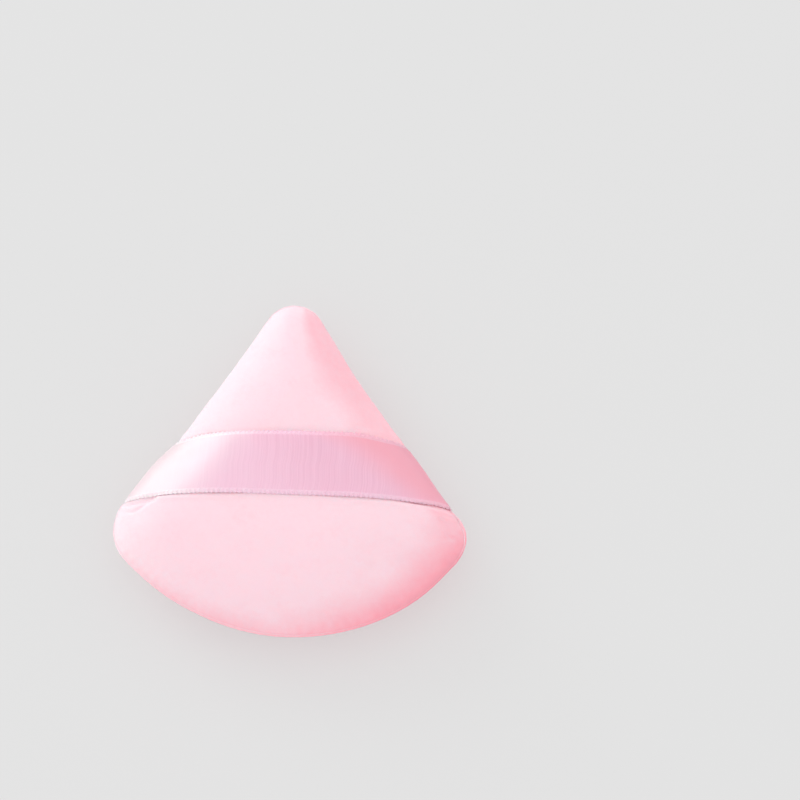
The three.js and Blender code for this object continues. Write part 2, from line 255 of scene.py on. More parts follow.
def pulse(phase):
    """A wave between 0 and 1, highest where its phase is 0."""
    return 0.5 + 0.5 * np.cos(phase)


def ripple(points, wavelength, seed):
    """Smooth seeded noise between about -1 and 1: waves of near lengths in random directions."""
    rng = np.random.default_rng(SEED + seed)
    directions = rng.normal(size=(WAVE_COUNT, points.shape[-1]))
    directions /= np.linalg.norm(directions, axis=1, keepdims=True)
    lengths = wavelength * rng.uniform(SHORTEST_SHARE, LONGEST_SHARE, WAVE_COUNT)
    phases = rng.uniform(0, 2 * np.pi, WAVE_COUNT)
    waves = np.sin(points @ (directions / lengths[:, None]).T * 2 * np.pi + phases)
    return waves.sum(axis=-1) / math.sqrt(2 * WAVE_COUNT)


def blurred_round(values, width):
    """Running mean of values round a closed line."""
    kernel = np.ones(width) / width
    return np.convolve(np.tile(values, 3), kernel, "same")[len(values) : 2 * len(values)]


def blurred(values, width):
    """Running mean of values along an open line, whose end values are carried on."""
    kernel = np.ones(width) / width
    return np.convolve(np.pad(values, width // 2, "edge"), kernel, "valid")


def curve(start, middle, end, count):
    """Points on a bent line in plan, from three places in mm."""
    t = np.linspace(0, 1, count)[:, None]
    start, middle, end = (np.array(p) * MM for p in (start, middle, end))
    return start * (1 - t) ** 2 + 2 * middle * t * (1 - t) + end * t**2


# Outline of the puff, from arcs


def arc(centre, radius, start, end, bulge):
    steps = max(2, int(abs(end - start) * radius / ARC_STEP))
    angles = np.linspace(start, end, steps, endpoint=False)
    outward = np.stack([np.cos(angles), np.sin(angles)], axis=1)
    return np.array(centre) + radius * outward, bulge * outward


def bearing(a, b):
    return math.atan2(b[1] - a[1], b[0] - a[0])


def half_outline():
    tip = np.array([0, HALF_LENGTH - TIP_RADIUS])
    corner = np.array([HALF_WIDTH - CORNER_RADIUS, CORNER_RISE - HALF_LENGTH])
    reach = np.linalg.norm(corner - tip)
    side_radius = reach**2 / (8 * SIDE_DRAW_IN)
    tip_reach = side_radius + TIP_RADIUS
    corner_reach = side_radius + CORNER_RADIUS
    along = (tip_reach**2 - corner_reach**2 + reach**2) / (2 * reach)
    unit = (corner - tip) / reach
    off = np.array([-unit[1], unit[0]]) * math.sqrt(tip_reach**2 - along**2)
    side = tip + unit * along + off
    spread = corner[0] ** 2 + CORNER_RISE**2 - CORNER_RADIUS**2
    base_radius = spread / (2 * (CORNER_RISE - CORNER_RADIUS))
    base = np.array([0, base_radius - HALF_LENGTH])
    tip_angle = bearing(tip, side)
    shoulder = bearing(corner, side)
    base_angle = bearing(base, corner)
    parts = [
        arc(tip, TIP_RADIUS, math.pi / 2, tip_angle, 1),
        arc(side, side_radius, tip_angle + math.pi, shoulder + math.pi, -1),
        arc(corner, CORNER_RADIUS, shoulder, base_angle, 1),
        arc(base, base_radius, base_angle, -math.pi / 2, 1),
    ]
    return [np.concatenate(rows) for rows in zip(*parts)]


def unevenness(points):
    bearings = np.degrees(np.arctan2(points[:, 1], points[:, 0]))
    return blurred_round(np.interp(bearings, UNEVEN_AT, UNEVEN_MM) * MM, UNEVEN_BLUR)


def outline(count):
    """Evenly spaced points round the outline, clockwise from the tip, with their outward normals."""
    points, normals = half_outline()
    flip = np.array([-1, 1])
    points = np.concatenate([points, [[0, -HALF_LENGTH]], points[:0:-1] * flip, points[:1]])
    normals = np.concatenate([normals, [[0, -1]], normals[:0:-1] * flip, normals[:1]])
    steps = np.linalg.norm(np.diff(points, axis=0), axis=1)
    distance = np.concatenate([[0], np.cumsum(steps)])
    places = np.linspace(0, distance[-1], count, endpoint=False)
    even = np.stack([np.interp(places, distance, column) for column in (*points.T, *normals.T)], 1)
    normals = even[:, 2:] / np.linalg.norm(even[:, 2:], axis=1, keepdims=True)
    return even[:, :2] + normals * unevenness(even[:, :2])[:, None], normals, places


EDGE, EDGE_NORMAL, EDGE_PLACE = outline(AROUND)
EDGE_STEP = EDGE_PLACE[1]
PERIMETER = EDGE_STEP * AROUND
CORNER_Y = CORNER_RISE - HALF_LENGTH
CROWN_CENTRE = np.array([0, CORNER_Y + CROWN_SHARE * (HALF_LENGTH - TIP_RADIUS - CORNER_Y)])
CORNER_PLACE = EDGE_PLACE[np.argmax(EDGE[:, 0])]


def half_width(y, side):
    """Width of the outline on one side, 1 for right and -1 for left, at a place above the corners."""
    half = EDGE[(EDGE[:, 0] * side >= 0) & (EDGE[:, 1] > CORNER_Y)]
    half = half[np.argsort(half[:, 1])]
    return np.interp(y, half[:, 1], half[:, 0] * side)


def round_trip(places):
    """Places along the outline as points on a circle of its length, so that noise on them closes."""
    turn = 2 * np.pi * places / PERIMETER
    return np.stack([np.cos(turn), np.sin(turn)], axis=-1) * PERIMETER / (2 * np.pi)


def bending():
    """How tightly the outline turns, from 0 to 1, smoothed along it."""
    turn = np.linalg.norm(np.roll(EDGE_NORMAL, -1, axis=0) - EDGE_NORMAL, axis=1)
    turn = blurred_round(turn, BEND_BLUR)
    return turn / turn.max()


def ride():
    """1 where the seam rides up at the right corner, easing to 0 along it."""
    return near(EDGE_PLACE, CORNER_PLACE + RIDE_PLACE, RIDE_LENGTH)


def parting():
    """1 where the ribbon's tails pass through the seam, easing to 0 beside them."""
    tilt = RIBBON_TILT * EDGE[:, 0]
    low, high = RIBBON_LOW - tilt, RIBBON_HIGH - tilt
    y = EDGE[:, 1]
    outside = np.maximum(np.maximum(low - y, y - high), 0)
    return (1 - smooth(outside, PART_LEAD, PART_LEAD + PART_LENGTH)) * (y > CORNER_Y)


# Depth in from the outline, for each ring and place


def soft_distance(points):
    """Distance in from the outline, rounded where two sides are about equally near."""
    marks = EDGE[::2]
    total = np.empty(len(points))
    for start in range(0, len(points), DISTANCE_BLOCK):
        away = points[start : start + DISTANCE_BLOCK, None] - marks[None]
        closeness = np.exp(-np.hypot(away[..., 0], away[..., 1]) / SOFTNESS)
        total[start : start + DISTANCE_BLOCK] = closeness.sum(axis=1)
    return -SOFTNESS * np.log(total * EDGE_STEP / SOFTNESS)


def ring_shares():
    """Shares of the way from the crown's middle to the outline, closer together near the outline."""
    angles = np.linspace(0, np.pi / 2, OUTER_RINGS + 1)[1:]
    return np.sin(angles) ** CROWDING


def grid():
    plan = CROWN_CENTRE + (EDGE - CROWN_CENTRE) * RING_SHARES[:, None, None]
    depth = soft_distance(plan.reshape(-1, 2)).reshape(plan.shape[:2])
    depth = depth - depth[-1] * RING_SHARES[:, None] ** EASE_POWER
    return plan, np.maximum(depth, 0)


RING_SHARES = ring_shares()
PLAN, DEPTH = grid()


def rise(depth):
    return ROLL + (CROWN - ROLL) * np.sqrt(1 - (1 - np.clip(depth / ROUND_WIDTH, 0, 1)) ** ROUND_POWER)


def surface_normals(rows):
    """Outward normals of a grid of rings, from its neighbours."""
    outward = np.gradient(rows, axis=0)
    along = np.roll(rows, -1, axis=1) - np.roll(rows, 1, axis=1)
    normal = np.cross(along, outward)
    normal[-1] = np.concatenate([EDGE_NORMAL, np.zeros((AROUND, 1))], axis=1)
    return normal / np.linalg.norm(normal, axis=2, keepdims=True)


# Surface features of a cover, as heights along its normal


def swell(points):
    return SWELL_HEIGHT * ripple(points, SWELL_WAVE, SWELL_SEED) * smooth(DEPTH, 0, SWELL_INSET)


def gathers(seed):
    """Small folds that run up from the seam, deeper round the corners and the tip."""
    bend = bending()
    loop = round_trip(EDGE_PLACE)
    wander = STITCH_WANDER * ripple(loop, STITCH_WANDER_WAVE, seed)
    fine = (FINE_GATHER + FINE_GATHER_AT_BEND * bend) * np.cos(2 * np.pi * EDGE_PLACE / STITCH_PITCH + wander)
    broad = (BROAD_GATHER + BROAD_GATHER_AT_BEND * bend) * ripple(loop, BROAD_GATHER_WAVE, seed + 1)
    return fine * near(DEPTH, 0, FINE_GATHER_REACH) + broad * near(DEPTH, 0, BROAD_GATHER_REACH)


def fold(line, depth, width, ridge_share):
    """A groove along a line in plan, fading at its ends, with a soft ridge on one side."""
    flat = PLAN.reshape(-1, 2)
    touched = np.abs(flat - line.mean(axis=0)).max(axis=1) < FOLD_REACH
    away = flat[touched, None] - line[None]
    distance = np.hypot(away[..., 0], away[..., 1])
    nearest = distance.argmin(axis=1)
    distance = distance.min(axis=1)
    share = nearest / (len(line) - 1)
    fade = smooth(share, 0, FADED_IN_SHARE) * (1 - smooth(share, FADING_OUT_SHARE, 1))
    tangent = np.gradient(line, axis=0)
    tangent /= np.linalg.norm(tangent, axis=1, keepdims=True)
    offset = flat[touched] - line[nearest]
    side = tangent[nearest, 0] * offset[:, 1] - tangent[nearest, 1] * offset[:, 0]
    ridge = ridge_share * near(side, RIDGE_PLACE * width, RIDGE_WIDTH * width)
    ridge *= near(distance, 0, RIDGE_REACH * width)
    heights = np.zeros(len(flat))
    heights[touched] = depth * fade * (ridge - near(distance, 0, width))
    return heights.reshape(DEPTH.shape)


def ribbon_press():
    """The taut ribbon presses the cover's shoulders flat, and the cover swells a little beside it."""
    y = PLAN[..., 1] + RIBBON_TILT * PLAN[..., 0]
    middle = (RIBBON_LOW + RIBBON_HIGH) / 2
    off = np.abs(y - middle) - RIBBON_WIDTH / 2
    under = 1 - smooth(off, PRESS_LEAD, PRESS_LEAD + PRESS_EASE)
    beside = near(off, BESIDE_PLACE, BESIDE_WIDTH) * near(DEPTH, BESIDE_DEPTH, BESIDE_REACH)
    beside += near(RIBBON_LOW - y, BASE_SWELL_PLACE, BASE_SWELL_WIDTH)
    return BESIDE_SWELL * beside - PRESS_DEPTH * under * near(DEPTH, PRESS_PLACE, PRESS_REACH)


def back_features(points):
    total = swell(points) + gathers(BACK_GATHER_SEED) + ribbon_press()
    for folds, count, ridge_share in (
        (LEFT_FOLDS_MM, LEFT_FOLD_POINTS, LEFT_RIDGE_SHARE),
        (RIGHT_FOLDS_MM, RIGHT_FOLD_POINTS, RIGHT_RIDGE_SHARE),
    ):
        for *places, depth, width in folds:
            total += fold(curve(*places, count), depth * MM, width * MM, ridge_share)
    return total


def powder_features(points):
    return swell(points * [1, -1, 1]) + gathers(POWDER_GATHER_SEED)


# Covers


def outer_skin(side, pressed):
    """The cover's outer rings, from the crown to its widest line, with its folds."""
    skin = np.concatenate([PLAN, rise(DEPTH)[..., None]], axis=2)
    features = back_features(skin) if side > 0 else powder_features(skin)
    skin = skin + surface_normals(skin) * features[..., None]
    if side > 0:
        share = ride() * near(DEPTH, 0, RIDE_REACH)
        skin[..., :2] -= EDGE_NORMAL * (RIDE_IN * share)[..., None]
        skin[..., 2] += RIDE_UP * share
    skin[..., 2] = np.minimum(skin[..., 2], CROWN - pressed)
    return skin


def seam_lip():
    """How far each cover's edge stays from the seam's middle line."""
    return CREASE_GAP + parting() * (RIBBON_THICKNESS / 2 + LOOP_HEIGHT)


def seam_rings(widest, side):
    """Rings that roll in from the widest line to the seam."""
    dimple = STITCH_DIMPLE * pulse(2 * np.pi * EDGE_PLACE / STITCH_PITCH)
    inset = CREASE_DEPTH + dimple + RIDE_IN * ride()
    seam = np.column_stack([EDGE - EDGE_NORMAL * inset[:, None], seam_lip() + side * RIDE_UP * ride()])
    rings = []
    for turn in np.linspace(0, np.pi / 2, SEAM_RINGS + 1)[1:]:
        level = widest[:, :2] + (seam[:, :2] - widest[:, :2]) * (1 - math.cos(turn))
        height = widest[:, 2] + (seam[:, 2] - widest[:, 2]) * math.sin(turn)
        rings.append(np.column_stack([level, height]))
    return rings


def flange_rings(seam):
    """The turned-in allowance: in along the seam, up and back out to the cover's inner wall."""
    long, short = COVER_THICKNESS + ALLOWANCE, COVER_THICKNESS
    rings = []
    for inset, lift in ((long / 2, 0), (long, 0), (long, 1), (short, 1)):
        level = seam[:, :2] - EDGE_NORMAL * (inset - CREASE_DEPTH)
        rings.append(np.column_stack([level, seam[:, 2] + lift * ALLOWANCE_THICKNESS]))
    return rings


def cover(name, skin, side, pressed):
    """A velour shell from its outer rings, above the seam or below it."""
    roll = seam_rings(skin[-1], side)
    inner = skin - surface_normals(skin) * COVER_THICKNESS
    start = OUTER_RINGS - 1 - INNER_STEP
    inner_rings = [inner[k] for k in range(start, -1, -INNER_STEP)]
    rings = [*skin, *roll, *flange_rings(roll[-1]), *inner_rings]
    top = CROWN - pressed
    poles = [[*CROWN_CENTRE, top], [*CROWN_CENTRE, top - COVER_THICKNESS]]
    points = np.concatenate([*rings, poles])
    points[:, 2] = SEAM_Z + side * points[:, 2]
    return make_mesh(name, points, capped_faces(len(rings), AROUND, side < 0))


BACK_SKIN = outer_skin(1, 0)
POWDER_SKIN = outer_skin(-1, PRESSED)


# Mesh making


def make_mesh(name, points, faces):
    mesh = bpy.data.meshes.new(name)
    mesh.from_pydata(np.asarray(points).tolist(), [], faces)
    mesh.update()
    mesh.shade_smooth()
    piece = bpy.data.objects.new(name, mesh)
    bpy.context.scene.collection.objects.link(piece)
    return piece


def ring_faces(rings, count, closed=True):
    """Quads between rings of count points each."""
    i = np.arange(count if closed else count - 1)
    j = (i + 1) % count
    rows = []
    for r in range(rings - 1):
        here, there = r * count, (r + 1) * count
        rows.append(np.stack([there + i, there + j, here + j, here + i], axis=1))
    return np.concatenate(rows)


def capped_faces(rings, count, turned):
    """Faces of stacked rings with a pole at each end, whose points come last."""
    first = rings * count
    end = first - count
    faces = ring_faces(rings, count).tolist()
    for a in range(count):
        b = (a + 1) % count
        faces.append([first, a, b])
        faces.append([end + b, end + a, first + 1])
    return [face[::-1] for face in faces] if turned else faces


def tube(name, path, radius):
    """A round thread along points, with domed ends."""
    path = np.asarray(path)
    along = np.gradient(path, axis=0)
    along /= np.linalg.norm(along, axis=1, keepdims=True)
    side = np.cross(along, [0, 0, 1])
    side /= np.maximum(np.linalg.norm(side, axis=1, keepdims=True), TINY)
    over = np.cross(side, along)
    turns = np.linspace(0, 2 * np.pi, TUBE_SIDES, endpoint=False)
    girth = np.full(len(path), radius)
    girth[[0, -1]] = radius / 2
    rings = [
        p + g * (np.cos(turns)[:, None] * s + np.sin(turns)[:, None] * o)
        for p, g, s, o in zip(path, girth, side, over)
    ]
    poles = [path[0] - along[0] * radius / 2, path[-1] + along[-1] * radius / 2]
    faces = capped_faces(len(rings), TUBE_SIDES, False)
    return make_mesh(name, np.concatenate([*rings, poles]), faces)


def face_outwards(piece):
    """Turns a closed mesh's faces outwards, by the sign of its volume."""
    mesh = piece.data
    mesh.calc_loop_triangles()
    corners = np.empty(len(mesh.loop_triangles) * 3, np.int32)
    mesh.loop_triangles.foreach_get("vertices", corners)
    points = np.empty(len(mesh.vertices) * 3)
    mesh.vertices.foreach_get("co", points)
    a, b, c = points.reshape(-1, 3)[corners.reshape(-1, 3)].transpose(1, 0, 2)
    if np.einsum("ij,ij->i", a, np.cross(b, c)).sum() < 0:
        mesh.flip_normals()


# Ribbon


def skin_at(points):
    """Where the back's skin lies for places in plan, read off its rings, in X and in height."""
    away = points - CROWN_CENTRE
    edge = EDGE - CROWN_CENTRE
    turn = np.arctan2(edge[:, 1], edge[:, 0])
    order = np.argsort(turn)
    angle = np.arctan2(away[:, 1], away[:, 0])
    reach = np.interp(angle, turn[order], np.hypot(*edge[order].T), period=2 * np.pi)
    column = np.interp(angle, np.unwrap(turn[order]), np.arange(AROUND))
    ring = np.interp(np.hypot(*away.T) / reach, RING_SHARES, np.arange(OUTER_RINGS))
    a, r = np.floor(column).astype(int), np.minimum(np.floor(ring).astype(int), OUTER_RINGS - 2)
    skin = BACK_SKIN[:, order][..., [0, 2]]
    ahead = (column - a)[:, None]
    here, out = (skin[k, a] * (1 - ahead) + skin[k, (a + 1) % AROUND] * ahead for k in (r, r + 1))
    return here + (out - here) * (ring - r)[:, None]


def ribbon_plan(share, side):
    """The ribbon's line in plan from one end to the middle, and how far out the cover's edge is there."""
    low, high = RIGHT_DRAW if side > 0 else LEFT_DRAW
    draw = low * (1 - share) + high * share
    straight = RIBBON_LOW + RIBBON_WIDTH * share
    edge = half_width(straight - RIBBON_TILT * side * HALF_WIDTH + draw, side)
    x = edge * np.sin(np.linspace(np.pi / 2, 0, RIBBON_HALF_POINTS)) ** CROWDING
    y = straight - RIBBON_TILT * side * x + draw * smooth(x / edge, DRAW_FROM_SHARE, DRAW_TO_SHARE)
    if side > 0:
        y += RIGHT_BOW * share**2 * near(x / edge, BOW_SHARE, BOW_REACH_SHARE)
    return x, y, edge


def laid_on_skin(x, y, side):
    """The line's X and height when it is laid on the skin, without the skin's small bumps."""
    drawn, z = skin_at(np.column_stack([side * x, y])).T
    x = x + blurred(side * drawn - x, RIBBON_BLUR)
    x[-1] = 0
    return x, blurred(z, RIBBON_BLUR)


def ribbon_gap(share, side, lifted):
    """From the skin to the ribbon's middle plane, at one share of its width and of the arch's height."""
    middle = BASE_GAP + (TIP_GAP - BASE_GAP) * share
    outer = 1 - smooth(RIBBON_WIDTH * min(share, 1 - share), 0, LOOP_LENGTH)
    end_sink = RIGHT_SINK if side > 0 else LEFT_SINK
    sink = end_sink + (MIDDLE_SINK - end_sink) * smooth(lifted, SINK_EASE_SHARE, 1)
    return END_GAP + (middle - END_GAP) * lifted + RIBBON_THICKNESS / 2 - outer * sink


def ribbon_half(share, side):
    """The ribbon's centreline from one tail to the middle, at one share of its width."""
    x, y, edge = ribbon_plan(share, side)
    x, z = laid_on_skin(x, y, side)
    slope = np.column_stack([-np.gradient(x), np.gradient(z)])
    slope /= np.linalg.norm(slope, axis=1, keepdims=True)
    # Beside the cover's widest line the ribbon stands straight up, so its gap is level there
    slope[:RIBBON_WALL_POINTS] = [0, 1]
    gap = ribbon_gap(share, side, np.clip(z / ARCH, 0, 1))
    x, z = x + slope[:, 1] * gap, z + slope[:, 0] * gap
    turn = np.linspace(-np.pi / 2, 0, FOLD_STEPS, endpoint=False)
    radius = z[0]
    turned_up = np.column_stack([x[0] - radius + radius * np.cos(turn), radius * (1 + np.sin(turn))])
    section = np.concatenate([[[edge - RIBBON_TAIL, 0]], turned_up, np.column_stack([x, z])])
    y = np.concatenate([np.full(FOLD_STEPS + 1, y[0]), y])
    return np.column_stack([side * section[:, 0], y, section[:, 1]])


def ribbon_path(share):
    """The ribbon's whole centreline at one share of its width, with distances along it."""
    path = np.concatenate([ribbon_half(share, -1), ribbon_half(share, 1)[-2::-1]])
    steps = np.linalg.norm(np.diff(path, axis=0), axis=1)
    return path, np.concatenate([[0], np.cumsum(steps)])


def ribbon_length(width_share):
    return ribbon_path(width_share)[1][-1]


def ribbon_rows():
    """Shares across the ribbon, closer together along its looped edges."""
    band = LOOP_LENGTH / RIBBON_WIDTH
    edge = np.linspace(0, band, LOOP_ROWS, endpoint=False)
    middle = np.linspace(band, 1 - band, MIDDLE_ROWS)
    return np.concatenate([edge, middle, 1 - edge[::-1]])


def ribs(places):
    """Cross ribs of uneven strength, from 0 to 1."""
    line = places[..., None]
    strength = 1 - RIB_UNEVEN_SHARE + RIB_UNEVEN_SHARE * ripple(line, RIB_UNEVEN_WAVE, RIB_SEED)
    wander = WEAVE_WANDER * ripple(line, RIB_WANDER_WAVE, RIB_WANDER_SEED)
    return strength * pulse(2 * np.pi * places / RIB_PITCH + wander)


def loops(places, inwards):
    """The selvage's loops: 1 on top of each, 0 between them and further in."""
    wander = WEAVE_WANDER * ripple(places[..., None], LOOP_WANDER_WAVE, LOOP_WANDER_SEED)
    wave = pulse(2 * np.pi * places / LOOP_PITCH + wander)
    inner = smooth(inwards, LOOP_END_SHARE * LOOP_LENGTH, LOOP_LENGTH)
    return smooth(wave, LOOP_LOW_SHARE, LOOP_TOP_SHARE) * (1 - inner)


def follow(path, distance, places):
    """Points at places along a path, and the path's normals there in its section."""
    here, ahead, behind = (
        np.stack([np.interp(places + step, distance, column) for column in path.T], axis=1)
        for step in (0, SLOPE_STEP, -SLOPE_STEP)
    )
    along = (ahead - behind)[:, [0, 2]]
    along /= np.linalg.norm(along, axis=1, keepdims=True)
    return here, np.column_stack([-along[:, 1], np.zeros(len(places)), along[:, 0]])


def ribbon_column(share):
    """Points on both faces of the ribbon at one share of its width, with its weave coordinates."""
    path, distance = ribbon_path(share)
    half = distance[-1] / 2
    places = np.linspace(-half, half, RIBBON_ALONG)
    centre, normal = follow(path, distance, places + half)
    free = smooth(centre[:, 2], FREE_SHARE * CROWN, CROWN)
    inwards = RIBBON_WIDTH * min(share, 1 - share)
    loop = loops(places, inwards)
    outer = 1 - smooth(inwards, 0, THINNED_REACH_SHARE * LOOP_LENGTH)
    centre[:, 1] += np.sign(share - 0.5) * LOOP_OVERHANG * outer * loop
    centre[:, 2] += SEAM_Z
    wave = RIBBON_WAVE_HEIGHT * free * ripple(centre, RIBBON_WAVE, RIBBON_WAVE_SEED)
    lie = wave + RIB_HEIGHT * (ribs(places) - 0.5)
    thick = RIBBON_THICKNESS / 2 * (1 - THINNED_SHARE * outer) + LOOP_HEIGHT * loop
    top = centre + normal * (lie + thick)[:, None]
    under = centre + normal * (lie - thick)[:, None]
    across = np.full(RIBBON_ALONG, RIBBON_WIDTH * share)
    return top, under, np.column_stack([places, across, half + places, half - places])


def ribbon():
    columns = [ribbon_column(share) for share in ribbon_rows()]
    top, under, weave = (np.stack(part).reshape(-1, part[0].shape[1]) for part in zip(*columns))
    rows, count = len(columns), RIBBON_ALONG
    offset = rows * count
    upper = ring_faces(rows, count, closed=False)
    rim = [
        *range(count),
        *(r * count + count - 1 for r in range(1, rows)),
        *range(offset - 2, offset - count - 1, -1),
        *(r * count for r in range(rows - 2, 0, -1)),
    ]
    sides = [[b + offset, a + offset, a, b] for a, b in zip(rim, rim[1:] + rim[:1])]
    faces = upper.tolist() + (upper[:, ::-1] + offset).tolist() + sides
    piece = make_mesh("satin_ribbon", np.concatenate([top, under]), faces)
    face_outwards(piece)
    corner = np.empty(len(piece.data.loops), np.int32)
    piece.data.loops.foreach_get("vertex_index", corner)
    flat = np.concatenate([weave, weave])[corner]
    for name, places in (("weave", flat[:, :2]), ("ends", flat[:, 2:])):
        layer = piece.data.uv_layers.new(name=name)
        layer.data.foreach_set("uv", places.ravel().astype(np.float32))
    return piece


# Threads and core


def closing_stitches():
    """The ladder stitch that closes the turning gap, over the seam's crease."""
    start = CORNER_PLACE + CLOSING_START
    places = np.linspace(start, start + CLOSING_LENGTH, CLOSING_POINTS)
    phase = 2 * np.pi * (places - start) / CLOSING_PITCH
    sway = np.tanh(CLOSING_SQUARENESS * np.sin(phase)) * CLOSING_SWAY
    x, y, normal_x, normal_y, ridden = (
        np.interp(places, EDGE_PLACE, column) for column in (*EDGE.T, *EDGE_NORMAL.T, ride())
    )
    inset = CREASE_DEPTH - CLOSING_STAND_OUT + RIDE_IN * ridden - CLOSING_LOOP * np.cos(phase) ** 2
    height = SEAM_Z + sway + RIDE_UP * ridden
    path = np.column_stack([x - normal_x * inset, y - normal_y * inset, height])
    return tube("closing_stitches", path, THREAD_RADIUS)


def foam_pad():
    """The core inside the covers, with a rebate round its edge for the turned-in seam."""
    shell = COVER_THICKNESS + FIT_GAP
    waist = COVER_THICKNESS + ALLOWANCE + FIT_GAP
    skin = np.concatenate([PLAN, rise(DEPTH)[..., None]], axis=2)
    inner = skin - surface_normals(skin) * shell
    start = OUTER_RINGS - 1 - 2 * INNER_STEP
    upper = [inner[k] for k in range(0, start + 1, INNER_STEP)]
    lower = [ring * [1, 1, -1] for ring in reversed(upper)]
    for ring in lower:
        ring[:, 2] = np.maximum(ring[:, 2], PRESSED - CROWN + shell)
    neck = np.column_stack([EDGE - EDGE_NORMAL * waist, upper[-1][:, 2]])
    rings = [*upper, neck, neck * [1, 1, -1], *lower]
    top = CROWN - shell
    points = np.concatenate([*rings, [[*CROWN_CENTRE, top], [*CROWN_CENTRE, PRESSED - top]]])
    points[:, 2] += SEAM_Z
    piece = make_mesh("foam_pad", points, capped_faces(len(rings), AROUND, False))
    face_outwards(piece)
    return piece


# Materials


def srgb(r, g, b):
    """A screen colour of 0 to 255 as the shader's linear one."""

    def linear(c):
        c = c / 255
        return c / 12.92 if c <= 0.04045 else ((c + 0.055) / 1.055) ** 2.4

    return (linear(r), linear(g), linear(b), 1)


# Velour's colours: a painted highlight on the sides towards the light, its own colour on top, painted shade
# on the sides away from the light, and the darkest painted shade
BACK_COLOURS = srgb(255, 224, 231), srgb(255, 215, 224), srgb(255, 167, 181), srgb(240, 157, 170)
POWDER_COLOURS = srgb(255, 220, 227), srgb(255, 211, 220), srgb(255, 164, 178), srgb(240, 155, 168)
VELOUR_SHEEN = srgb(255, 225, 232)

# Painted shade on the sides away from the light: a direction in plan, the slopes between which it deepens,
# and how far
PAINTED_SHADE_SIDES = [
    ((0.799, -0.602, 0), 0.24, 0.84, 1),
    ((0.996, 0.087, 0), 0.18, 0.5, 0.5),
    ((-0.174, -0.985, 0), 0.55, 1, 0.6),
]
# Where the painted shade is darkest, low on the base's right side, and where a painted highlight makes it
# palest, towards the light
DARKEST_PAINTED_SIDE, DARKEST_PAINTED_FROM, DARKEST_PAINTED_TO = (0.766, -0.643, 0), 0.75, 1
PAINTED_LIGHT_SIDE, PAINTED_LIGHT_FROM, PAINTED_LIGHT_TO = (-0.985, 0.174, 0), 0.12, 0.6

# Sizes of the pile, of the lumps under it and of its brush marks, and how much each changes its colour
PILE_GRAIN, PILE_MARK = 0.26 * MM, 0.05
LUMP_SIZE = 1 * MM
BROAD_SIZE, BROAD_MARK = 8 * MM, 0.06
SMALL_SIZE, SMALL_MARK = 1.4 * MM, 0.035
PILE_BUMP, LUMP_BUMP = 0.06 * MM, 0.1 * MM
VELOUR_SCATTER = 1.6 * MM

# Satin's colours, and how strongly some of them cover the silk. Streaks, clouds and loops are its own
# colours. The pink is painted light away from the right end. The warm one is painted shade with a painted
# reflection of the velour's pink at the right end. The pale ones are a painted highlight on the silk and
# loops at the left end. The underside colour is painted light on faces turned down
SILK_DEEP, SILK_LIGHT = srgb(231, 167, 194), srgb(240, 181, 205)
SILK_CLOUD, PAINTED_LIGHT_PINK = srgb(233, 179, 203), srgb(250, 212, 230)
PAINTED_WARM_SHADE, PAINTED_HIGHLIGHT_PALE = srgb(246, 155, 176), srgb(232, 221, 220)
LOOP_COLOUR, PAINTED_HIGHLIGHT_LOOP_COLOUR = srgb(252, 214, 232), srgb(255, 234, 240)
PAINTED_UNDERSIDE_LIGHT = srgb(255, 224, 234)
CLOUD_SHARE, PAINTED_LIGHT_PINK_SHARE, PAINTED_HIGHLIGHT_SHARE, LOOP_SHARE = 0.15, 0.3, 0.7, 0.35
# Share of a loop's length where its colour ends
LOOP_COLOUR_SHARE = 0.7

# Distances between which the ribbon takes a painted highlight towards its left end, and painted light and
# painted warm shade from its right end
PAINTED_HIGHLIGHT_FROM, PAINTED_HIGHLIGHT_TO = 31 * MM, 10 * MM
PAINTED_LIGHT_PINK_FROM, PAINTED_LIGHT_PINK_TO = 30 * MM, 55 * MM
PAINTED_WARM_SHADE_FROM, PAINTED_WARM_SHADE_TO = 21.6 * MM, 5.6 * MM
# The painted warm shade reaches further in along the high edge, by this much of the way across
PAINTED_WARM_SHADE_SLANT = 0.8

# Sizes of the satin's streaks and clouds, and how much a streak is drawn out across the ribbon
STREAK_SIZE, CLOUD_SIZE, STREAK_SQUEEZE = 0.3 * MM, 4 * MM, 0.01
STREAK_BUMP = 0.01 * MM
SATIN_SCATTER = 0.5 * MM
# Slopes between which faces turned down take painted light
PAINTED_UNDERSIDE_SLOPE = 0.3

# Values between which noise mostly lies
NOISE_LOW, NOISE_HIGH = 0.3, 0.7

# Foam and thread: their colours, the size of their grain, and the share of the colour left in its hollows
FOAM_COLOUR, FOAM_GRAIN = srgb(247, 243, 236), 0.6 * MM
THREAD_COLOUR, THREAD_GRAIN = srgb(243, 166, 183), 0.15 * MM
HOLLOW_SHARE = 0.85


